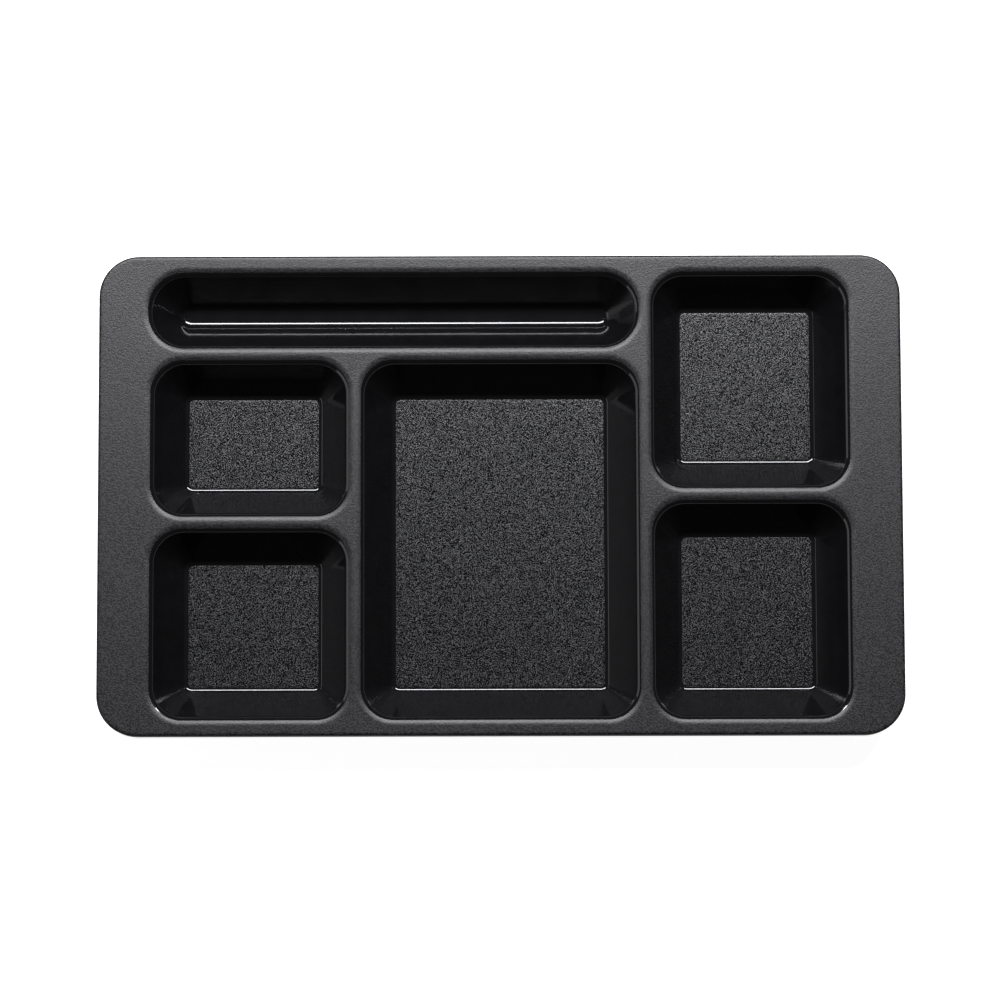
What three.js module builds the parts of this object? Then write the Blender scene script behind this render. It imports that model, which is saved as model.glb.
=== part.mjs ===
// A six-compartment meal tray, moulded as one thin shell. Millimetres, +Z up.
// The origin is under the middle of the tray, on the surface that it stands on.
// +X runs along the tray's long side, and -Y is the side nearest the diner.
//
// The shell is divided where its finish changes: a matte deck that rolls over into each well,
// gloss well walls and separate floors, with the edge that turns down all round. The regions
// share their outlines, so they meet face to face.

import * as THREE from "three";
import { mergeVertices } from "three/addons/utils/BufferGeometryUtils.js";

// Section of the shell
const SHELL = 2.4; // thickness of the moulding
const WELL_DEPTH = 19.8; // deck face down to a well's floor face
const WALL_SLOPE = THREE.MathUtils.degToRad(55); // well walls, up from the floor
const LIP_RADIUS = 5.7; // deck face rolling over into a well
const FINISH_SLOPE = THREE.MathUtils.degToRad(27); // slope on the lip at which matte turns to gloss
const FLOOR_FILLET = 3; // wall face into floor face
const TROUGH_FILLET = 5.5; // the same in the trough, whose bottom is rounder

// Plan of the wells
const SIDE_FLOOR_WIDTH = 62.4; // floors of the four corner wells, along X
const MAIN_FLOOR_WIDTH = 100.2; // floor of the middle well, along X
const TROUGH_FLOOR_WIDTH = 2.2; // floor of the long trough, along Y
const REAR_LEFT_FLOOR_LENGTH = 42.9; // along Y
const FRONT_LEFT_FLOOR_LENGTH = 58.9; // along Y
const FLOOR_CORNER = 2.5; // plan radius of a floor's corners
const TROUGH_FLOOR_CORNER = 1.05; // the same on the trough's narrow floor
const WELL_CORNER = 17.6; // plan radius of a well's mouth
const TROUGH_CORNER = 19.5; // plan radius of the trough's mouth
const TROUGH_REACH = 1.3; // how much further left the trough starts than the wells below it
const LAND = 0.4; // flat crest of the ridge between two wells

// Edge of the tray
const SIDE_RIM = 22.4; // tray's edge to the mouths of the side wells
const BACK_RIM = 5.64; // tray's back edge to the mouths
const FRONT_RIM = 5.2; // tray's front edge to the mouths
const OUTER_CORNER = 19.5; // plan radius of the tray's corners
const EDGE_ROUND = 1.6; // deck face into the skirt
const SKIRT_HEIGHT = 6.5; // deck face down to the skirt's lower edge
const SKIRT_DRAFT = THREE.MathUtils.degToRad(4); // skirt leaning out towards its lower edge

// Facets
const WELL_CORNER_STEPS = 6;
const OUTER_CORNER_STEPS = 8;
const LIP_STEPS = 2; // matte part of the lip, and again for its gloss part
const FILLET_STEPS = 3;
const EDGE_STEPS = 3;
const ROUND_LIMIT = 0.98; // most of a half side that a plan radius may take up

// Heights
const DECK_TOP = SHELL + WELL_DEPTH;
const DECK_UNDER = DECK_TOP - SHELL;
const SKIRT_FOOT = DECK_TOP - SKIRT_HEIGHT;

// How far a well's mouth stands out from its floor on every side
function mouthOffset(fillet) {
  const rounds = LIP_RADIUS + fillet;
  const straightRise = WELL_DEPTH - rounds * (1 - Math.cos(WALL_SLOPE));
  return straightRise / Math.tan(WALL_SLOPE) + rounds * Math.sin(WALL_SLOPE);
}

const WELL_OFFSET = mouthOffset(FLOOR_FILLET);
const TROUGH_OFFSET = mouthOffset(TROUGH_FILLET);

// Mouths along X, then along Y from the tray's back edge to its front edge
const sideMouth = SIDE_FLOOR_WIDTH + 2 * WELL_OFFSET;
const mainMouth = MAIN_FLOOR_WIDTH + 2 * WELL_OFFSET;
const troughMouth = TROUGH_FLOOR_WIDTH + 2 * TROUGH_OFFSET;
const rearLeftMouth = REAR_LEFT_FLOOR_LENGTH + 2 * WELL_OFFSET;
const frontLeftMouth = FRONT_LEFT_FLOOR_LENGTH + 2 * WELL_OFFSET;
const mainLength = rearLeftMouth + LAND + frontLeftMouth;
const columnLength = troughMouth + LAND + mainLength;
const rightMouth = (columnLength - LAND) / 2;

const trayLength = 2 * (SIDE_RIM + sideMouth + LAND) + mainMouth;
const trayWidth = BACK_RIM + columnLength + FRONT_RIM;

const leftEdge = SIDE_RIM - trayLength / 2;
const mainEdge = mainMouth / 2;
const rightEdge = -leftEdge;
const backEdge = trayWidth / 2 - BACK_RIM;
const mainBackEdge = backEdge - troughMouth - LAND;
const frontEdge = FRONT_RIM - trayWidth / 2;

// Rounds of the food wells and of the trough
const WELL_ROUNDS = { fillet: FLOOR_FILLET, floorCorner: FLOOR_CORNER, mouthCorner: WELL_CORNER };
const TROUGH_ROUNDS = {
  fillet: TROUGH_FILLET,
  floorCorner: TROUGH_FLOOR_CORNER,
  mouthCorner: TROUGH_CORNER,
};

// A well by the sides of its mouth
function well(name, left, right, front, back, rounds = WELL_ROUNDS) {
  const offset = mouthOffset(rounds.fillet);
  return {
    name,
    x: (left + right) / 2,
    y: (front + back) / 2,
    floorX: right - left - 2 * offset,
    floorY: back - front - 2 * offset,
    mouthOffset: offset,
    ...rounds,
  };
}

const wells = [
  well("trough", leftEdge - TROUGH_REACH, mainEdge, backEdge - troughMouth, backEdge, TROUGH_ROUNDS),
  well("main_well", -mainEdge, mainEdge, frontEdge, mainBackEdge),
  well("rear_left", leftEdge, leftEdge + sideMouth, mainBackEdge - rearLeftMouth, mainBackEdge),
  well("front_left", leftEdge, leftEdge + sideMouth, frontEdge, frontEdge + frontLeftMouth),
  well("rear_right", rightEdge - sideMouth, rightEdge, backEdge - rightMouth, backEdge),
  well("front_right", rightEdge - sideMouth, rightEdge, frontEdge, frontEdge + rightMouth),
];

// A rounded rectangle at one height, anticlockwise seen from above
function outline(x, y, halfX, halfY, cornerRadius, steps, z) {
  const radius = Math.min(cornerRadius, ROUND_LIMIT * Math.min(halfX, halfY));
  const points = [];
  for (let corner = 0; corner < 4; corner += 1) {
    const sideX = corner === 0 || corner === 3 ? 1 : -1;
    const sideY = corner < 2 ? 1 : -1;
    for (let step = 0; step <= steps; step += 1) {
      const angle = ((corner + step / steps) * Math.PI) / 2;
      const pointX = x + sideX * (halfX - radius) + radius * Math.cos(angle);
      const pointY = y + sideY * (halfY - radius) + radius * Math.sin(angle);
      points.push(new THREE.Vector3(pointX, pointY, z));
    }
  }
  return points;
}

// A well's outline where its surface stands `offset` out from its floor. The corners open up
// from the floor's small radius to the mouth's large one.
function wellRing(place, [offset, z]) {
  const radius = THREE.MathUtils.lerp(place.floorCorner, place.mouthCorner, offset / place.mouthOffset);
  const halfX = place.floorX / 2 + offset;
  const halfY = place.floorY / 2 + offset;
  return outline(place.x, place.y, halfX, halfY, radius, WELL_CORNER_STEPS, z);
}

// The tray's own outline, `inset` in from its widest line
function trayRing([inset, z]) {
  const halfX = trayLength / 2 - inset;
  const halfY = trayWidth / 2 - inset;
  return outline(0, 0, halfX, halfY, OUTER_CORNER - inset, OUTER_CORNER_STEPS, z);
}

// Points of an arc from one angle to another
function arc(from, to, steps, pointAt) {
  return Array.from({ length: steps + 1 }, (_, step) => pointAt(from + ((to - from) * step) / steps));
}

// Section points as [offset, z]: `depth` is 0 on the upper face and SHELL on the underside
function lipPoint(place, slope, depth) {
  const radius = LIP_RADIUS - depth;
  const offset = place.mouthOffset - radius * Math.sin(slope);
  return [offset, DECK_TOP - LIP_RADIUS + radius * Math.cos(slope)];
}

function filletPoint(place, slope, depth) {
  const radius = place.fillet + depth;
  return [radius * Math.sin(slope), SHELL + place.fillet - radius * Math.cos(slope)];
}

function lipSection(place, from, to, depth) {
  return arc(from, to, LIP_STEPS, (slope) => lipPoint(place, slope, depth));
}

function filletSection(place, from, to, depth) {
  return arc(from, to, FILLET_STEPS, (slope) => filletPoint(place, slope, depth));
}

// Triangles between successive outlines of equal length
function loft(rings) {
  const triangles = [];
  for (let level = 0; level + 1 < rings.length; level += 1) {
    const near = rings[level];
    const far = rings[level + 1];
    for (let i = 0; i < near.length; i += 1) {
      const next = (i + 1) % near.length;
      triangles.push([near[i], near[next], far[next]], [near[i], far[next], far[i]]);
    }
  }
  return triangles;
}

function loopLoft(rings) {
  return loft([...rings, rings[0]]);
}

// A flat face inside an outline and outside its holes, facing up or down
function flatFace(boundary, holes, facesUp) {
  const openings = holes.map((hole) => [...hole].reverse());
  const points = [boundary, ...openings].flat();
  const faces = THREE.ShapeUtils.triangulateShape(boundary, openings);
  return faces.map(([a, b, c]) => {
    const corners = [points[a], points[b], points[c]];
    return facesUp ? corners : corners.reverse();
  });
}

function solid(name, triangles, material) {
  const positions = triangles.flat().flatMap((point) => point.toArray());
  const geometry = new THREE.BufferGeometry();
  geometry.setAttribute("position", new THREE.Float32BufferAttribute(positions, 3));
  const closed = mergeVertices(geometry);
  closed.computeVertexNormals();
  const mesh = new THREE.Mesh(closed, material);
  mesh.name = name;
  return mesh;
}

function plastic(colour, roughness) {
  return new THREE.MeshStandardMaterial({ color: colour, roughness, metalness: 0 });
}

// Where the skirt's inner face meets the deck, in from the tray's widest line
const skirtLean = (height) => (height - SKIRT_FOOT) * Math.tan(SKIRT_DRAFT);
const deckInset = SHELL + skirtLean(DECK_UNDER);

// The flat top with its ridges, rolled over into each well as far as the finish line
function deck() {
  const triangles = [];
  for (const place of wells) {
    const face = lipSection(place, 0, FINISH_SLOPE, 0);
    const underside = lipSection(place, FINISH_SLOPE, 0, SHELL);
    triangles.push(...loft([...face, ...underside].map((point) => wellRing(place, point))));
  }
  const upper = trayRing([deckInset, DECK_TOP]);
  const lower = trayRing([deckInset, DECK_UNDER]);
  const mouthsAt = (z) => wells.map((place) => wellRing(place, [place.mouthOffset, z]));
  triangles.push(...flatFace(upper, mouthsAt(DECK_TOP), true));
  triangles.push(...flatFace(lower, mouthsAt(DECK_UNDER), false));
  triangles.push(...loft([lower, upper]));
  return solid("deck", triangles, plastic(0x29292a, 0.55));
}

// The edge of the tray, rounded over and turned down
function rimSkirt() {
  const edgeInset = skirtLean(DECK_TOP - EDGE_ROUND);
  const roundedEdge = arc(Math.PI / 2, 0, EDGE_STEPS, (slope) => [
    edgeInset + EDGE_ROUND * (1 - Math.sin(slope)),
    DECK_TOP - EDGE_ROUND * (1 - Math.cos(slope)),
  ]);
  const section = [
    [deckInset, DECK_TOP],
    [deckInset, DECK_UNDER],
    [SHELL, SKIRT_FOOT],
    [0, SKIRT_FOOT],
    ...roundedEdge,
  ];
  return solid("rim_skirt", loopLoft(section.map(trayRing)), plastic(0x29292a, 0.55));
}

// The gloss wall of a well, from the finish line on its lip down to the edge of its floor
function wellWall(place) {
  const section = [
    ...lipSection(place, FINISH_SLOPE, WALL_SLOPE, 0),
    ...filletSection(place, WALL_SLOPE, 0, 0),
    ...filletSection(place, 0, WALL_SLOPE, SHELL),
    ...lipSection(place, WALL_SLOPE, FINISH_SLOPE, SHELL),
  ];
  const rings = section.map((point) => wellRing(place, point));
  return solid(`${place.name}_wall`, loopLoft(rings), plastic(0x0c0c0d, 0.12));
}

// The flat floor of a well, which the tray stands on
function wellFloor(place) {
  const upper = wellRing(place, [0, SHELL]);
  const lower = wellRing(place, [0, 0]);
  const triangles = [
    ...flatFace(upper, [], true),
    ...flatFace(lower, [], false),
    ...loft([lower, upper]),
  ];
  return solid(`${place.name}_floor`, triangles, plastic(0x1a1a1b, 0.35));
}

const tray = new THREE.Group();
tray.add(deck(), rimSkirt());
for (const place of wells) {
  tray.add(wellWall(place), wellFloor(place));
}

export default tray;
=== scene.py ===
import math

import bmesh
import bpy
from mathutils import Euler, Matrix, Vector


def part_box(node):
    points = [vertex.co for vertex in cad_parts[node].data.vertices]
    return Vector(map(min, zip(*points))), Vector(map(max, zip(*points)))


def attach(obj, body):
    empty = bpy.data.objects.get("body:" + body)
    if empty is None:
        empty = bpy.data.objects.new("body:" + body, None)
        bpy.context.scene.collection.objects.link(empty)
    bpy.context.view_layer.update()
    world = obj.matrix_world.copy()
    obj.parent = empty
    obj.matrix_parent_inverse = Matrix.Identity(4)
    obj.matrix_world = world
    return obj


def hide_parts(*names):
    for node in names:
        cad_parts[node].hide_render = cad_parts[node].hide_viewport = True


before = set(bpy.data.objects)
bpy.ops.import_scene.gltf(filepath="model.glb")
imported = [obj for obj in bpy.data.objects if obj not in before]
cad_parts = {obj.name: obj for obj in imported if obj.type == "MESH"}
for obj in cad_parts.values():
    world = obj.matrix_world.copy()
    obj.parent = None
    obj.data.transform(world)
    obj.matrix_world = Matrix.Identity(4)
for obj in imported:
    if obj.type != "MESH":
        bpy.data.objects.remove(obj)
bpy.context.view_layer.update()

MM = 0.001
QUARTER_TURN = math.pi / 2

# The moulding's section
LIP_RADIUS = 5.7 * MM
FLOOR_FILLET = 3.0 * MM
TROUGH_FILLET = 5.5 * MM
WALL_SLOPE = math.radians(55)
FINISH_SLOPE = math.radians(27)
FLOOR_CORNER = 2.5 * MM
TROUGH_FLOOR_CORNER = 1.05 * MM
WELL_CORNER = 17.6 * MM
TROUGH_CORNER = 19.5 * MM

# The rim
OUTER_CORNER = 19.5 * MM
EDGE_ROUND = 1.6 * MM
FOOT_ROUND = 0.5 * MM
SKIRT_DRAFT = math.radians(4)

# How finely the curves are divided
CORNER_STEPS = 20
LIP_STEPS = 8
FILLET_STEPS = 10
EDGE_STEPS = 8
FOOT_STEPS = 4
# A row of faces this far from each bend keeps the flat faces flat in their gloss
BEND_GUARD = 0.4 * MM
# Rise of a face's normal below which it counts as an edge
STEEP = 0.9
# Turn of a face's normal below level from which it counts as underside
UNDER_TURN = 0.01
WELD = 0.002 * MM

# Noise has this middle, and most of its values lie between these ends
NOISE_MIDDLE = 0.5
NOISE_LOW = 0.3
NOISE_HIGH = 0.7

# The floors' grain
GRAIN_CELL = 0.42 * MM
GRAIN_DEPTH = 0.16 * MM
GRAIN_SIZE = 0.75 * MM
GRAIN_FADE = 1.0 * MM
GRAIN_SEED = 4.0
PAD_RISE = 0.06 * MM
PAD_EDGE = 0.6 * MM

# Finer grain, in the finishes
PEBBLE_SIZE = 0.47 * MM
PEBBLE_DEPTH = 0.09 * MM
SPARK_SIZE = 0.7 * MM
SPARK_DEPTH = 0.10 * MM
MOTTLE_SIZE = 14 * MM
HAZE_SIZE = 9 * MM
PEEL_SIZE = 2.6 * MM
PEEL_DEPTH = 0.012 * MM
FLOW_SIZE = 16 * MM
FLOW_STRETCH = 0.25
SATIN_SIZE = 0.8 * MM
SATIN_DEPTH = 0.012 * MM

WELLS = ("trough", "main_well", "rear_left", "front_left", "rear_right", "front_right")

floor_low, floor_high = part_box("main_well_floor")
deck_low, deck_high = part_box("deck")
skirt_low, skirt_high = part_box("rim_skirt")

SHELL = floor_high[2] - floor_low[2]
DECK_TOP = deck_high[2]
SKIRT_FOOT = skirt_low[2]
RIM_X = skirt_high[0] - skirt_low[0]
RIM_Y = skirt_high[1] - skirt_low[1]
DECK_INSET = (RIM_X - (deck_high[0] - deck_low[0])) / 2


def mouth_offset(fillet):
    """How far a well's mouth stands outside its floor, all round."""
    rounds = LIP_RADIUS + fillet
    straight_rise = DECK_TOP - SHELL - rounds * (1 - math.cos(WALL_SLOPE))
    return rounds * math.sin(WALL_SLOPE) + straight_rise / math.tan(WALL_SLOPE)


# Geometry Nodes written as arithmetic

class Field:
    """A number in a Geometry Nodes tree: a formula on it adds the Math nodes."""

    def __init__(self, shape, socket):
        self.shape = shape
        self.socket = socket

    def apply(self, operation, first, second=0.0):
        node = self.shape.node("ShaderNodeMath", {0: first, 1: second}, operation=operation)
        return Field(self.shape, node.outputs[0])

    def __add__(self, other):
        return self.apply("ADD", self, other)

    def __radd__(self, other):
        return self.apply("ADD", other, self)

    def __sub__(self, other):
        return self.apply("SUBTRACT", self, other)

    def __rsub__(self, other):
        return self.apply("SUBTRACT", other, self)

    def __mul__(self, other):
        return self.apply("MULTIPLY", self, other)

    def __rmul__(self, other):
        return self.apply("MULTIPLY", other, self)

    def __truediv__(self, other):
        return self.apply("DIVIDE", self, other)

    def __rtruediv__(self, other):
        return self.apply("DIVIDE", other, self)

    def at_least(self, other):
        return self.apply("MAXIMUM", self, other)

    def at_most(self, other):
        return self.apply("MINIMUM", self, other)

    def above(self, other):
        return self.apply("GREATER_THAN", self, other)

    def remainder(self, other):
        return self.apply("MODULO", self, other)

    def whole(self):
        return self.apply("FLOOR", self)

    def nearest(self):
        return self.apply("ROUND", self)

    def size(self):
        return self.apply("ABSOLUTE", self)

    def sign(self):
        return self.apply("SIGN", self)

    def root(self):
        return self.apply("SQRT", self)

    def sine(self):
        return self.apply("SINE", self)

    def cosine(self):
        return self.apply("COSINE", self)


class Shape:
    """A Geometry Nodes tree with named sizes."""

    def __init__(self, name, size_names):
        self.tree = bpy.data.node_groups.new(name, "GeometryNodeTree")
        for size_name in size_names:
            self.tree.interface.new_socket(size_name, in_out="INPUT", socket_type="NodeSocketFloat")
        self.tree.interface.new_socket("Geometry", in_out="OUTPUT", socket_type="NodeSocketGeometry")
        self.entry = self.tree.nodes.new("NodeGroupInput")

    def named(self, size_name):
        return Field(self, self.entry.outputs[size_name])

    def node(self, kind, inputs, **settings):
        node = self.tree.nodes.new(kind)
        for name, value in settings.items():
            setattr(node, name, value)
        for name, value in inputs.items():
            self.feed(node.inputs[name], value)
        return node

    def feed(self, socket, value):
        if isinstance(value, Field):
            value = value.socket
        if isinstance(value, bpy.types.NodeSocket):
            self.tree.links.new(value, socket)
        else:
            socket.default_value = value

    def parts_of(self, vector):
        split = self.node("ShaderNodeSeparateXYZ", {0: vector})
        return [Field(self, socket) for socket in split.outputs]

    def position(self):
        return self.parts_of(self.node("GeometryNodeInputPosition", {}).outputs[0])

    def vector(self, x, y, z):
        return self.node("ShaderNodeCombineXYZ", {0: x, 1: y, 2: z}).outputs[0]

    def pick(self, index, choices):
        """The choice that the index counts to."""
        switch = self.node("GeometryNodeIndexSwitch", {}, data_type="FLOAT")
        while len(switch.index_switch_items) < len(choices):
            switch.index_switch_items.new()
        self.feed(switch.inputs[0], index)
        for place, choice in enumerate(choices):
            self.feed(switch.inputs[place + 1], choice)
        return Field(self, switch.outputs[0])

    def join(self, pieces):
        node = self.node("GeometryNodeJoinGeometry", {})
        for piece in pieces:
            self.tree.links.new(piece, node.inputs[0])
        return node.outputs[0]

    def weld(self, geometry):
        merged = self.node("GeometryNodeMergeByDistance", {"Geometry": geometry, "Distance": WELD})
        return merged.outputs[0]

    def loft(self, columns, rows, place):
        """A net of points, each put where place(column, row) says."""
        net = self.node("GeometryNodeMeshGrid", {
            "Size X": columns - 1.0,
            "Size Y": rows - 1.0,
            "Vertices X": columns,
            "Vertices Y": rows,
        })
        across, along, _ = self.position()
        column = (across + (columns - 1) / 2).nearest()
        row = (along + (rows - 1) / 2).nearest()
        placed = self.node("GeometryNodeSetPosition", {
            "Geometry": net.outputs[0],
            "Position": self.vector(*place(column, row)),
        })
        return placed.outputs[0]

    def open_edges(self):
        """Positive on the edges that border one face, negative on those between two."""
        faces = self.node("GeometryNodeInputMeshEdgeNeighbors", {}).outputs[0]
        return 1.5 - Field(self, faces)

    def cap(self, geometry, chosen, height):
        """A flat face over the chosen open edges, lifted to the height."""
        rim = self.node("GeometryNodeMeshToCurve", {
            "Mesh": geometry,
            "Selection": chosen.above(0.0),
        })
        filled = self.node("GeometryNodeFillCurve", {"Curve": rim.outputs[0]}, mode="TRIANGLES")
        lifted = self.node("GeometryNodeSetPosition", {
            "Geometry": filled.outputs[0],
            "Offset": self.vector(0.0, 0.0, height),
        })
        return lifted.outputs[0]

    def finish(self, geometry, face_finish, under_finish, edge_finish=None):
        """Give faces their finish: steep ones any edge's, those that look down the underside's."""
        real = self.node("GeometryNodeRealizeInstances", {"Geometry": geometry})
        normal = self.node("GeometryNodeInputNormal", {}).outputs[0]
        downward = 0.0 - self.parts_of(normal)[2]
        result = self.node("GeometryNodeSetMaterial", {
            "Geometry": self.weld(real.outputs[0]),
            "Material": face_finish,
        })
        for finish, start in ((edge_finish, -STEEP), (under_finish, UNDER_TURN)):
            if finish is not None:
                result = self.node("GeometryNodeSetMaterial", {
                    "Geometry": result.outputs[0],
                    "Selection": downward.above(start),
                    "Material": finish,
                })
        self.node("NodeGroupOutput", {"Geometry": result.outputs[0]})
        return self.tree


# Rounded rectangles: each corner is an arc with a guard point on either side

RING_POINTS = CORNER_STEPS + 3
RING_COLUMNS = 4 * RING_POINTS + 1


def ring_point(column, centre_x, centre_y, half_x, half_y, corner):
    """Where a point stands on a rounded rectangle, counted from its right side."""
    corner_number = (column / RING_POINTS).whole().remainder(4)
    in_corner = column.remainder(RING_POINTS)
    arc = (in_corner - 1).at_least(0).at_most(CORNER_STEPS) / CORNER_STEPS
    guard = (in_corner - (CORNER_STEPS + 1)).at_least(0) - (1 - in_corner).at_least(0)
    turn = (corner_number + arc) * QUARTER_TURN
    middle = (corner_number + 0.5) * QUARTER_TURN
    along = guard * BEND_GUARD
    corner_x = centre_x + middle.cosine().sign() * (half_x - corner)
    corner_y = centre_y + middle.sine().sign() * (half_y - corner)
    x = corner_x + corner * turn.cosine() - along * turn.sine()
    y = corner_y + corner * turn.sine() + along * turn.cosine()
    return x, y


WELL_SIZES = ("Centre X", "Centre Y", "Floor X", "Floor Y", "Floor Corner", "Floor Fillet",
              "Mouth Offset", "Mouth Corner")
SECTION_SIZES = ("Deck Top", "Shell", "Lip Radius", "Wall Slope", "Finish Slope")


def well_ring(shape, column, offset):
    """A well's ring of points at an offset outside its floor."""
    floor_corner = shape.named("Floor Corner")
    opened = offset / shape.named("Mouth Offset")
    return ring_point(
        column,
        shape.named("Centre X"),
        shape.named("Centre Y"),
        shape.named("Floor X") / 2 + offset,
        shape.named("Floor Y") / 2 + offset,
        floor_corner + (shape.named("Mouth Corner") - floor_corner) * opened,
    )


def lip_point(shape, slope, depth):
    """A point of the rolled lip, as its offset and height; depth goes into the shell."""
    radius = shape.named("Lip Radius")
    offset = shape.named("Mouth Offset") - (radius - depth) * slope.sine()
    height = shape.named("Deck Top") - radius + (radius - depth) * slope.cosine()
    return offset, height


def fillet_point(shape, slope, depth):
    """A point of the round between wall and floor."""
    radius = shape.named("Floor Fillet")
    offset = (radius + depth) * slope.sine()
    height = shape.named("Shell") + radius - (radius + depth) * slope.cosine()
    return offset, height


def there_and_back(row, rows):
    """Rows run along the face, then back along the underside: the row's number, and which side."""
    turned = row.remainder(2 * rows)
    under = turned.above(rows - 0.5)
    return turned + under * (2 * rows - 1 - 2 * turned), under


def wall_shape(face_finish, under_finish):
    """A well's wall: lip, slope and bottom round, as a closed shell."""
    shape = Shape("well_wall", WELL_SIZES + SECTION_SIZES)
    # The lip's rows, a guard row below it and one above the fillet come first
    fillet_start = LIP_STEPS + 3
    rows = fillet_start + FILLET_STEPS + 1
    finish_slope = shape.named("Finish Slope")
    wall_slope = shape.named("Wall Slope")

    def place(column, row):
        step, under = there_and_back(row, rows)
        depth = under * shape.named("Shell")
        lip_turn = step.at_most(LIP_STEPS) / LIP_STEPS
        below_lip = (step - LIP_STEPS).at_least(0).at_most(1) * BEND_GUARD
        fillet_turn = (step - fillet_start).at_least(0) / FILLET_STEPS
        above_fillet = (fillet_start - step).at_least(0).at_most(1) * BEND_GUARD
        in_fillet = step.above(LIP_STEPS + 1.5)
        lip_slope = finish_slope + (wall_slope - finish_slope) * lip_turn
        lip_x, lip_z = lip_point(shape, lip_slope, depth)
        fillet_x, fillet_z = fillet_point(shape, wall_slope * (1 - fillet_turn), depth)
        lip_x = lip_x - below_lip * wall_slope.cosine()
        lip_z = lip_z - below_lip * wall_slope.sine()
        fillet_x = fillet_x + above_fillet * wall_slope.cosine()
        fillet_z = fillet_z + above_fillet * wall_slope.sine()
        x, y = well_ring(shape, column, lip_x + (fillet_x - lip_x) * in_fillet)
        return x, y, lip_z + (fillet_z - lip_z) * in_fillet

    return shape.finish(shape.loft(RING_COLUMNS, 2 * rows + 1, place), face_finish, under_finish)


def lip_shape():
    """The matte upper part of one well's lip, open along the flat deck."""
    shape = Shape("well_lip", WELL_SIZES + SECTION_SIZES)
    rows = LIP_STEPS + 1

    def place(column, row):
        step, under = there_and_back(row, rows)
        slope = shape.named("Finish Slope") * step / LIP_STEPS
        offset, height = lip_point(shape, slope, under * shape.named("Shell"))
        x, y = well_ring(shape, column, offset)
        return x, y, height

    strip = shape.weld(shape.loft(RING_COLUMNS, 2 * rows, place))
    shape.node("NodeGroupOutput", {"Geometry": strip})
    return shape.tree


RIM_SIZES = ("Rim X", "Rim Y", "Rim Corner", "Deck Inset")


def rim_ring(shape, column, inset):
    """A ring of points at an inset from the tray's widest outline."""
    return ring_point(
        column,
        0.0,
        0.0,
        shape.named("Rim X") / 2 - inset,
        shape.named("Rim Y") / 2 - inset,
        shape.named("Rim Corner") - inset,
    )


def deck_shape(face_finish, under_finish):
    """The flat deck with the upper lips of all six wells."""
    well_sizes = [f"{well} {size}" for well in WELLS for size in WELL_SIZES]
    shape = Shape("deck_plate", (*well_sizes, *SECTION_SIZES, *RIM_SIZES))
    deck_top = shape.named("Deck Top")
    deck_under = deck_top - shape.named("Shell")
    lip_tree = lip_shape()

    def outer_edge(column, row):
        x, y = rim_ring(shape, column, shape.named("Deck Inset"))
        return x, y, deck_top - shape.named("Shell") * row

    strips = [shape.loft(RING_COLUMNS, 2, outer_edge)]
    for well in WELLS:
        sizes = {size: shape.named(f"{well} {size}") for size in WELL_SIZES}
        sizes.update({size: shape.named(size) for size in SECTION_SIZES})
        lip = shape.node("GeometryNodeGroup", {}, node_tree=lip_tree)
        for size, value in sizes.items():
            shape.feed(lip.inputs[size], value)
        strips.append(lip.outputs[0])
    edges = shape.weld(shape.join(strips))
    height = shape.position()[2]
    middle = (deck_top + deck_under) / 2
    is_open = shape.open_edges().above(0.0)
    top = shape.cap(edges, is_open * height.above(middle), deck_top)
    bottom = shape.cap(edges, is_open - height.above(middle), deck_under)
    under_face = shape.node("GeometryNodeFlipFaces", {"Mesh": bottom}).outputs[0]
    return shape.finish(shape.join([edges, top, under_face]), face_finish, under_finish)


def skirt_shape(face_finish, under_finish, edge_finish):
    """The turned-down edge: rounded over the top, with a softened foot."""
    shape = Shape("rim_skirt", ("Deck Top", "Shell", "Edge Round", "Edge Inset", "Skirt Foot",
                                "Foot Round", *RIM_SIZES))
    top = shape.named("Deck Top")
    shell = shape.named("Shell")
    edge = shape.named("Edge Round")
    foot = shape.named("Skirt Foot")
    soft = shape.named("Foot Round")
    stations = [
        (shape.named("Deck Inset"), top),
        (shape.named("Deck Inset"), top - shell),
    ]
    for step in range(FOOT_STEPS + 1):
        turn = QUARTER_TURN * step / FOOT_STEPS
        stations.append((shell - soft * (1 - math.cos(turn)), foot + soft * (1 - math.sin(turn))))
    for step in range(FOOT_STEPS + 1):
        turn = QUARTER_TURN * step / FOOT_STEPS
        stations.append((soft * (1 - math.sin(turn)), foot + soft * (1 - math.cos(turn))))
    for step in range(EDGE_STEPS + 1):
        turn = QUARTER_TURN * (1 - step / EDGE_STEPS)
        inset = shape.named("Edge Inset") + edge * (1 - math.sin(turn))
        stations.append((inset, top - edge * (1 - math.cos(turn))))
    stations.append(stations[0])

    def place(column, row):
        x, y = rim_ring(shape, column, shape.pick(row, [inset for inset, _ in stations]))
        return x, y, shape.pick(row, [height for _, height in stations])

    skirt = shape.loft(RING_COLUMNS, len(stations), place)
    return shape.finish(skirt, face_finish, under_finish, edge_finish)


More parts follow.
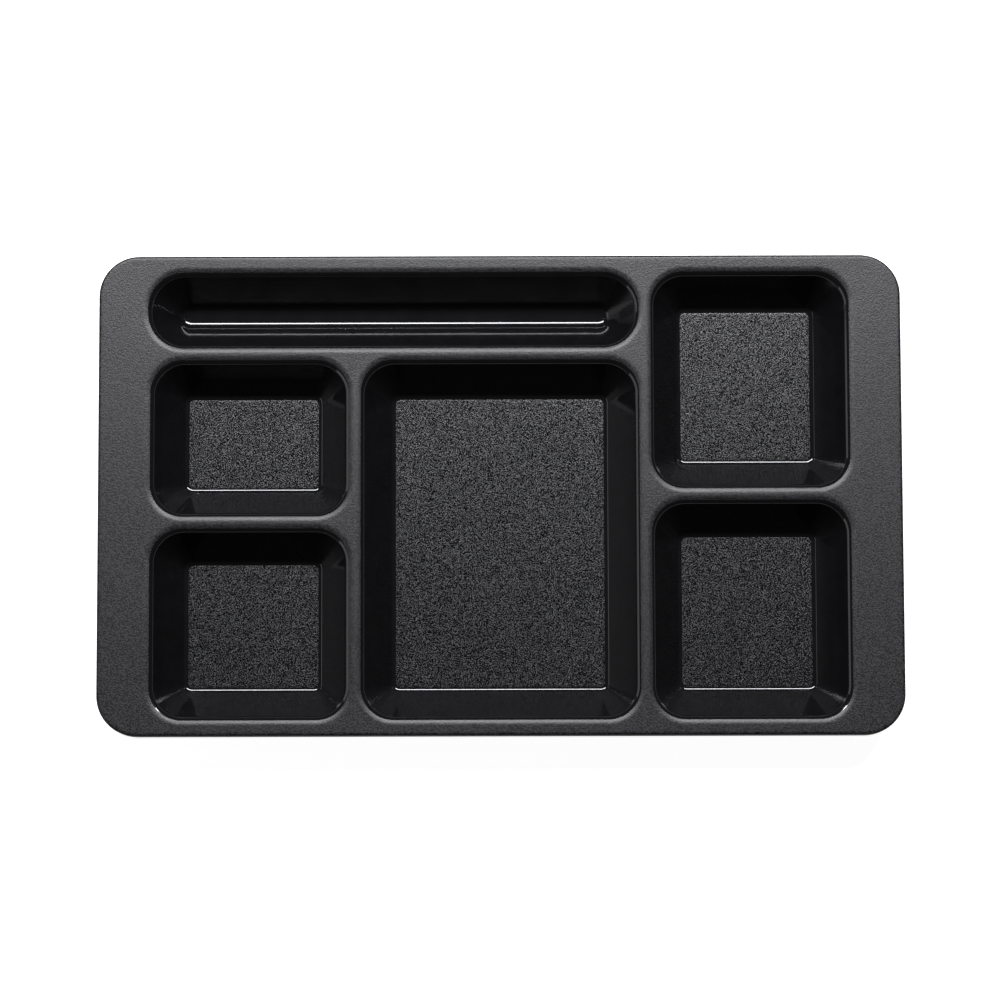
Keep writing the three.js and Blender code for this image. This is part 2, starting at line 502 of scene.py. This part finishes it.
def floor_shape(name, face_finish, under_finish):
    """A well's floor plate with its grain raised in the mesh."""
    shape = Shape(name, ("Centre X", "Centre Y", "Floor X", "Floor Y", "Floor Corner", "Shell",
                         "Grain Cell", "Grain Depth", "Grain Size", "Grain Fade",
                         "Pad Rise", "Pad Edge"))
    floor_x = shape.named("Floor X")
    floor_y = shape.named("Floor Y")
    corner = shape.named("Floor Corner")
    shell = shape.named("Shell")
    net = shape.node("GeometryNodeMeshGrid", {
        "Size X": floor_x,
        "Size Y": floor_y,
        "Vertices X": (floor_x / shape.named("Grain Cell")).nearest() + 1,
        "Vertices Y": (floor_y / shape.named("Grain Cell")).nearest() + 1,
    })
    across, along, _ = shape.position()
    straight_x = floor_x / 2 - corner
    straight_y = floor_y / 2 - corner
    corner_x = (across.size() - straight_x).at_least(0.0)
    corner_y = (along.size() - straight_y).at_least(0.0)
    reach = (corner_x * corner_x + corner_y * corner_y).root().at_least(WELD)
    pull = corner_x.at_least(corner_y) / reach
    x = across.sign() * (across.size().at_most(straight_x) + corner_x * pull)
    y = along.sign() * (along.size().at_most(straight_y) + corner_y * pull)
    to_border = (floor_x / 2 - across.size()).at_most(floor_y / 2 - along.size())
    fade = (to_border / shape.named("Grain Fade")).at_most(1.0)
    grain = shape.node("ShaderNodeTexNoise", {
        "Vector": shape.vector(shape.named("Centre X") + x, shape.named("Centre Y") + y, 0.0),
        "W": GRAIN_SEED,
        "Scale": 1.0 / shape.named("Grain Size"),
        "Detail": 1.0,
    }, noise_dimensions="4D")
    pad = shape.named("Pad Rise") * (to_border / shape.named("Pad Edge")).at_most(1.0)
    swing = Field(shape, grain.outputs[0]) - NOISE_MIDDLE
    top = shell + pad + shape.named("Grain Depth") * fade * swing
    face = shape.node("GeometryNodeSetPosition", {
        "Geometry": net.outputs[0],
        "Position": shape.vector(shape.named("Centre X") + x, shape.named("Centre Y") + y, top),
    }).outputs[0]
    sides = shape.node("GeometryNodeExtrudeMesh", {
        "Mesh": face,
        "Selection": shape.open_edges().above(0.0),
        "Offset": shape.vector(0.0, 0.0, -1.0),
        "Offset Scale": shell,
    }, mode="EDGES").outputs[0]
    bottom = shape.cap(sides, shape.open_edges(), 0.0)
    under_face = shape.node("GeometryNodeFlipFaces", {"Mesh": bottom}).outputs[0]
    return shape.finish(shape.join([sides, under_face]), face_finish, under_finish)


# Finishes

# Tones of the black plastic, with painted shade and painted glints in its grain
# Spark grain: the pits' tone is painted shade, the specks' tone is painted glints
SPARK_PIT_PAINTED_SHADE = (0.0005, 0.0005, 0.0006)
SPARK_SPECK_PAINTED_GLINT = (0.0250, 0.0250, 0.0265)
GLOSS_DEEP = (0.0038, 0.0038, 0.0042)
GLOSS_HAZY = (0.0052, 0.0052, 0.0058)
# Pebble grain: the valleys' tone is painted shade, the crowns' tone is painted glints
PEBBLE_VALLEY_PAINTED_SHADE = (0.0025, 0.0025, 0.0027)
PEBBLE_CROWN_PAINTED_GLINT = (0.0650, 0.0650, 0.0685)
SATIN_DARK = (0.0150, 0.0150, 0.0160)
SATIN_PALE = (0.0200, 0.0200, 0.0210)

# How much of their reflections the pebbles' valleys and crowns give; the valleys' dimmer reflection
# is painted shade
VALLEY_SHINE_PAINTED_SHADE = (0.1, 0.1, 0.1)
CROWN_SHINE = (1.0, 1.0, 1.0)

# Specular levels, and the pebbles' refraction
MATTE_SPECULAR = 0.5
EDGE_SPECULAR = 0.05
PEBBLE_SPECULAR = 1.0
PEBBLE_IOR = 1.6

# Lowest and highest roughness
MATTE_ROUGHNESS = (0.42, 0.45)
GLOSS_ROUGHNESS = (0.088, 0.102)
PEBBLE_ROUGHNESS = (0.06, 0.54)
SATIN_ROUGHNESS = (0.38, 0.46)


def new_finish(name):
    """A node material with its principled shader and object coordinates."""
    finish = bpy.data.materials.new(name)
    finish.use_nodes = True
    nodes = finish.node_tree.nodes
    shader = nodes["Principled BSDF"]
    coordinates = nodes.new("ShaderNodeTexCoord").outputs["Object"]
    return finish, shader, coordinates


def grain_noise(finish, coordinates, size, detail):
    """Noise whose patches are about as wide as the size."""
    noise = finish.node_tree.nodes.new("ShaderNodeTexNoise")
    noise.inputs["Scale"].default_value = 1.0 / size
    noise.inputs["Detail"].default_value = detail
    finish.node_tree.links.new(coordinates, noise.inputs["Vector"])
    return noise.outputs["Fac"]


def spread(finish, value, low, high):
    """Noise stretched to run from low to high."""
    stretch = finish.node_tree.nodes.new("ShaderNodeMapRange")
    stretch.inputs["From Min"].default_value = NOISE_LOW
    stretch.inputs["From Max"].default_value = NOISE_HIGH
    stretch.inputs["To Min"].default_value = low
    stretch.inputs["To Max"].default_value = high
    finish.node_tree.links.new(value, stretch.inputs["Value"])
    return stretch.outputs["Result"]


def tint(finish, value, dark, light, middle=NOISE_MIDDLE, softness=0.2):
    """A colour that wanders between two tones; a low softness sets them sharply apart."""
    ramp = finish.node_tree.nodes.new("ShaderNodeValToRGB")
    ramp.color_ramp.elements[0].position = middle - softness
    ramp.color_ramp.elements[0].color = (*dark, 1.0)
    ramp.color_ramp.elements[1].position = middle + softness
    ramp.color_ramp.elements[1].color = (*light, 1.0)
    finish.node_tree.links.new(value, ramp.inputs["Fac"])
    return ramp.outputs["Color"]


def raise_grain(finish, height, depth):
    """A bump of the given depth."""
    bump = finish.node_tree.nodes.new("ShaderNodeBump")
    bump.inputs["Strength"].default_value = 1.0
    bump.inputs["Distance"].default_value = depth
    finish.node_tree.links.new(height, bump.inputs["Height"])
    return bump.outputs["Normal"]


def matte_with_painted_glints(name, specular):
    """Fine spark-eroded matte, with painted shade in its pits and painted glints on the specks
    between them.
    """
    finish, shader, coordinates = new_finish(name)
    shader.inputs["Specular IOR Level"].default_value = specular
    link = finish.node_tree.links.new
    mottle = grain_noise(finish, coordinates, MOTTLE_SIZE, detail=4.0)
    spark = grain_noise(finish, coordinates, SPARK_SIZE, detail=1.0)
    # Painted shade in the pits and painted glints on the specks
    painted_glint_tone = tint(finish, spark, SPARK_PIT_PAINTED_SHADE, SPARK_SPECK_PAINTED_GLINT, softness=0.1)
    link(painted_glint_tone, shader.inputs["Base Color"])
    link(spread(finish, mottle, *MATTE_ROUGHNESS), shader.inputs["Roughness"])
    link(raise_grain(finish, spark, SPARK_DEPTH), shader.inputs["Normal"])
    return finish


def gloss_wall_finish():
    """Polished black with a faint orange peel."""
    finish, shader, coordinates = new_finish("polished_black_gloss")
    link = finish.node_tree.links.new
    haze = grain_noise(finish, coordinates, HAZE_SIZE, detail=3.0)
    peel = grain_noise(finish, coordinates, PEEL_SIZE, detail=1.0)
    link(tint(finish, haze, GLOSS_DEEP, GLOSS_HAZY), shader.inputs["Base Color"])
    link(spread(finish, haze, *GLOSS_ROUGHNESS), shader.inputs["Roughness"])
    link(raise_grain(finish, peel, PEEL_DEPTH), shader.inputs["Normal"])
    return finish


def pebbled_floor_painted_glints():
    """Shiny pebble grain, with painted shade in the valleys, which are darker and reflect less, and
    painted glints on the pebbles' crowns.
    """
    finish, shader, coordinates = new_finish("pebbled_black_grain_painted_glints")
    link = finish.node_tree.links.new
    pebble = grain_noise(finish, coordinates, PEBBLE_SIZE, detail=1.0)
    # Painted shade in the valleys and painted glints on the crowns
    painted_glint_tone = tint(finish, pebble, PEBBLE_VALLEY_PAINTED_SHADE, PEBBLE_CROWN_PAINTED_GLINT,
                middle=0.65, softness=0.12)
    link(painted_glint_tone, shader.inputs["Base Color"])
    # Specular tint: painted shade that dims the valleys' reflections
    painted_valley_shade = tint(finish, pebble, VALLEY_SHINE_PAINTED_SHADE, CROWN_SHINE,
                 middle=0.60, softness=0.14)
    link(painted_valley_shade, shader.inputs["Specular Tint"])
    shader.inputs["Specular IOR Level"].default_value = PEBBLE_SPECULAR
    shader.inputs["IOR"].default_value = PEBBLE_IOR
    link(spread(finish, pebble, *PEBBLE_ROUGHNESS), shader.inputs["Roughness"])
    link(raise_grain(finish, pebble, PEBBLE_DEPTH), shader.inputs["Normal"])
    return finish


def underside_finish():
    """Plain satin, with long faint flow marks of the mould."""
    finish, shader, coordinates = new_finish("satin_black_underside")
    link = finish.node_tree.links.new
    flow = finish.node_tree.nodes.new("ShaderNodeMapping")
    flow.inputs["Scale"].default_value = (FLOW_STRETCH, 1.0, 1.0)
    link(coordinates, flow.inputs["Vector"])
    marks = grain_noise(finish, flow.outputs["Vector"], FLOW_SIZE, detail=4.0)
    satin = grain_noise(finish, coordinates, SATIN_SIZE, detail=1.0)
    link(tint(finish, marks, SATIN_DARK, SATIN_PALE), shader.inputs["Base Color"])
    link(spread(finish, marks, *SATIN_ROUGHNESS), shader.inputs["Roughness"])
    link(raise_grain(finish, satin, SATIN_DEPTH), shader.inputs["Normal"])
    return finish


# Making the pieces

# Edges sharper than this stay sharp
SMOOTH_ANGLE = math.radians(32)
# Faces as level as this are shaded flat
FLAT_UP = 0.999999


def make_piece(name, tree, sizes, node):
    """Evaluate a tree to a plain mesh that stands for one CAD node."""
    piece = bpy.data.objects.new(name, bpy.data.meshes.new(name))
    bpy.context.scene.collection.objects.link(piece)
    maker = piece.modifiers.new("shape", "NODES")
    maker.node_group = tree
    for item in tree.interface.items_tree:
        if item.in_out == "INPUT":
            maker[item.identifier] = sizes[item.name]
    evaluated = piece.evaluated_get(bpy.context.evaluated_depsgraph_get())
    mesh = bpy.data.meshes.new_from_object(evaluated)
    piece.modifiers.remove(maker)
    piece.data = mesh
    mesh.name = name
    work = bmesh.new()
    work.from_mesh(mesh)
    bmesh.ops.recalc_face_normals(work, faces=work.faces)
    for face in work.faces:
        face.smooth = abs(face.normal.z) < FLAT_UP
    work.to_mesh(mesh)
    work.free()
    mesh.set_sharp_from_angle(angle=SMOOTH_ANGLE)
    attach(piece, "root")
    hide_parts(node)


# Fillet, floor corner and mouth corner
WELL_ROUNDS = (FLOOR_FILLET, FLOOR_CORNER, WELL_CORNER)
TROUGH_ROUNDS = (TROUGH_FILLET, TROUGH_FLOOR_CORNER, TROUGH_CORNER)


def well_sizes(well):
    """A well's place and floor, from its CAD floor."""
    low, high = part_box(f"{well}_floor")
    fillet, floor_corner, mouth_corner = WELL_ROUNDS
    if well == "trough":
        fillet, floor_corner, mouth_corner = TROUGH_ROUNDS
    return {
        "Centre X": (low[0] + high[0]) / 2,
        "Centre Y": (low[1] + high[1]) / 2,
        "Floor X": high[0] - low[0],
        "Floor Y": high[1] - low[1],
        "Floor Corner": floor_corner,
        "Floor Fillet": fillet,
        "Mouth Offset": mouth_offset(fillet),
        "Mouth Corner": mouth_corner,
    }


SECTION = {
    "Deck Top": DECK_TOP,
    "Shell": SHELL,
    "Lip Radius": LIP_RADIUS,
    "Wall Slope": WALL_SLOPE,
    "Finish Slope": FINISH_SLOPE,
}
RIM = {
    "Rim X": RIM_X,
    "Rim Y": RIM_Y,
    "Rim Corner": OUTER_CORNER,
    "Deck Inset": DECK_INSET,
}
SKIRT = {
    "Deck Top": DECK_TOP,
    "Shell": SHELL,
    "Edge Round": EDGE_ROUND,
    "Edge Inset": (DECK_TOP - EDGE_ROUND - SKIRT_FOOT) * math.tan(SKIRT_DRAFT),
    "Skirt Foot": SKIRT_FOOT,
    "Foot Round": FOOT_ROUND,
}
GRAIN = {
    "Shell": SHELL,
    "Grain Cell": GRAIN_CELL,
    "Grain Depth": GRAIN_DEPTH,
    "Grain Size": GRAIN_SIZE,
    "Grain Fade": GRAIN_FADE,
    "Pad Rise": PAD_RISE,
    "Pad Edge": PAD_EDGE,
}


def make_tray():
    """All fourteen pieces, each in place of one CAD node."""
    # Both matte finishes carry the spark grain's painted shade and painted glints
    matte = matte_with_painted_glints("matte_black_spark_painted_glints", MATTE_SPECULAR)
    dull = matte_with_painted_glints("dull_black_edge_painted_glints", EDGE_SPECULAR)
    gloss = gloss_wall_finish()
    pebbled = pebbled_floor_painted_glints()
    satin = underside_finish()

    deck_sizes = {**SECTION, **RIM}
    for well in WELLS:
        for size, value in well_sizes(well).items():
            deck_sizes[f"{well} {size}"] = value
    make_piece("deck_plate", deck_shape(matte, satin), deck_sizes, "deck")
    skirt_tree = skirt_shape(matte, satin, dull)
    make_piece("rim_edge", skirt_tree, {**SKIRT, **RIM}, "rim_skirt")

    wall_tree = wall_shape(gloss, satin)
    pebbled_tree = floor_shape("pebbled_floor", pebbled, satin)
    smooth_tree = floor_shape("smooth_floor", gloss, satin)
    for well in WELLS:
        sizes = well_sizes(well)
        make_piece(f"{well}_gloss_wall", wall_tree, {**SECTION, **sizes},
                   f"{well}_wall")
        if well == "trough":
            smooth = {**GRAIN, **sizes, "Grain Depth": 0.0, "Pad Rise": 0.0}
            make_piece("trough_smooth_floor", smooth_tree, smooth, "trough_floor")
        else:
            make_piece(f"{well}_pebbled_floor", pebbled_tree, {**GRAIN, **sizes},
                       f"{well}_floor")


# Studio: white table, a softbox behind the tray, a weak fill from the left

TABLE_REACH = 6.0
TABLE_TOP = -0.05 * MM
TABLE_GLOW = 0.93
TABLE_COLOUR = (0.8, 0.8, 0.8, 1.0)
TABLE_ROUGHNESS = 0.9
WHITE = (1.0, 1.0, 1.0, 1.0)
SOFTBOX_PLACE = Vector((0.0, 0.86, 1.14))
SOFTBOX_SIZE = (1.44, 0.22)
SOFTBOX_POWER = 41.0
LAMP_COLOUR = (0.965, 0.965, 1.0)
FILL_PLACE = Vector((-0.95, -0.10, 0.30))
FILL_SIZE = (0.9, 0.35)
FILL_POWER = 1.2
CEILING = 0.045
# Heights of a direction at which the backdrop ends and is at full white
BACKDROP_TOP = 0.10
BACKDROP_FULL = 0.05


def background_rays(tree):
    """1 for rays that the camera, a gloss or a glass sends at the background."""
    path = tree.nodes.new("ShaderNodeLightPath")
    seen = path.outputs["Is Camera Ray"]
    for ray in ("Is Glossy Ray", "Is Transmission Ray"):
        either = tree.nodes.new("ShaderNodeMath")
        either.operation = "MAXIMUM"
        tree.links.new(seen, either.inputs[0])
        tree.links.new(path.outputs[ray], either.inputs[1])
        seen = either.outputs[0]
    return seen


def make_table():
    """A plain white table that stays white yet keeps the tray's shadow."""
    mesh = bpy.data.meshes.new("table")
    corners = [(-TABLE_REACH, -TABLE_REACH, TABLE_TOP), (TABLE_REACH, -TABLE_REACH, TABLE_TOP),
               (TABLE_REACH, TABLE_REACH, TABLE_TOP), (-TABLE_REACH, TABLE_REACH, TABLE_TOP)]
    mesh.from_pydata(corners, [], [(0, 1, 2, 3)])
    table = bpy.data.objects.new("table", mesh)
    bpy.context.scene.collection.objects.link(table)
    white = bpy.data.materials.new("white_table")
    white.use_nodes = True
    tree = white.node_tree
    shader = tree.nodes["Principled BSDF"]
    shader.inputs["Base Color"].default_value = TABLE_COLOUR
    shader.inputs["Roughness"].default_value = TABLE_ROUGHNESS
    shader.inputs["Specular IOR Level"].default_value = 0.0
    shader.inputs["Emission Color"].default_value = WHITE
    glow = tree.nodes.new("ShaderNodeMath")
    glow.operation = "MULTIPLY"
    glow.inputs[1].default_value = TABLE_GLOW
    tree.links.new(background_rays(tree), glow.inputs[0])
    tree.links.new(glow.outputs[0], shader.inputs["Emission Strength"])
    mesh.materials.append(white)


def make_lamp(name, place, size, power):
    """A soft rectangular lamp that faces the tray."""
    lamp = bpy.data.lights.new(name, "AREA")
    lamp.shape = "RECTANGLE"
    lamp.size, lamp.size_y = size
    lamp.energy = power
    lamp.color = LAMP_COLOUR
    holder = bpy.data.objects.new(name, lamp)
    holder.location = place
    holder.rotation_euler = (-place).to_track_quat("-Z", "Y").to_euler()
    holder.visible_camera = False
    bpy.context.scene.collection.objects.link(holder)


def make_world():
    """A dim room with a low white backdrop, which only the camera and reflections see."""
    world = bpy.data.worlds.new("studio")
    world.use_nodes = True
    bpy.context.scene.world = world
    tree = world.node_tree

    def combine(operation, first, second):
        node = tree.nodes.new("ShaderNodeMath")
        node.operation = operation
        tree.links.new(first, node.inputs[0])
        if isinstance(second, float):
            node.inputs[1].default_value = second
        else:
            tree.links.new(second, node.inputs[1])
        return node.outputs[0]

    direction = tree.nodes.new("ShaderNodeSeparateXYZ")
    tree.links.new(tree.nodes.new("ShaderNodeTexCoord").outputs["Generated"], direction.inputs[0])
    low = tree.nodes.new("ShaderNodeMapRange")
    low.inputs["From Min"].default_value = BACKDROP_TOP
    low.inputs["From Max"].default_value = BACKDROP_FULL
    tree.links.new(direction.outputs["Z"], low.inputs["Value"])
    camera_ray = tree.nodes.new("ShaderNodeLightPath").outputs["Is Camera Ray"]
    backdrop = combine("MAXIMUM", low.outputs["Result"], camera_ray)
    shown = combine("MULTIPLY", backdrop, background_rays(tree))
    sky = tree.nodes["Background"]
    sky.inputs["Color"].default_value = WHITE
    tree.links.new(combine("MAXIMUM", shown, CEILING), sky.inputs["Strength"])


# Camera: above the front of the tray, leaning back a little

CAMERA_DISTANCE = 0.912
CAMERA_LEAN = math.radians(3.1)
CAMERA_ROLL = math.radians(-0.15)
CAMERA_SHIFT = (0.017, 0.14)
FRAME_WIDTH = 0.4716
TRAY_IN_FRAME = (0.0003, 0.0062)
SENSOR = 36.0


def make_camera():
    """Stand the camera so that the deck's middle falls at its place in the frame."""
    lens = bpy.data.cameras.new("camera")
    lens.sensor_width = SENSOR
    lens.lens = SENSOR * CAMERA_DISTANCE / FRAME_WIDTH
    lens.shift_x, lens.shift_y = CAMERA_SHIFT
    camera = bpy.data.objects.new("camera", lens)
    facing = Euler((CAMERA_LEAN, 0, CAMERA_ROLL)).to_matrix()
    right, up, back = facing.col
    aside = (TRAY_IN_FRAME[0] + CAMERA_SHIFT[0]) * FRAME_WIDTH
    above = (TRAY_IN_FRAME[1] + CAMERA_SHIFT[1]) * FRAME_WIDTH
    deck_middle = Vector((0, 0, DECK_TOP))
    camera.location = deck_middle + back * CAMERA_DISTANCE - right * aside - up * above
    camera.rotation_euler = facing.to_euler()
    bpy.context.scene.collection.objects.link(camera)
    bpy.context.scene.camera = camera


make_tray()
make_table()
make_lamp("softbox", SOFTBOX_PLACE, SOFTBOX_SIZE, SOFTBOX_POWER)
make_lamp("left_fill", FILL_PLACE, FILL_SIZE, FILL_POWER)
make_world()
make_camera()
bpy.context.scene.view_settings.view_transform = "Standard"
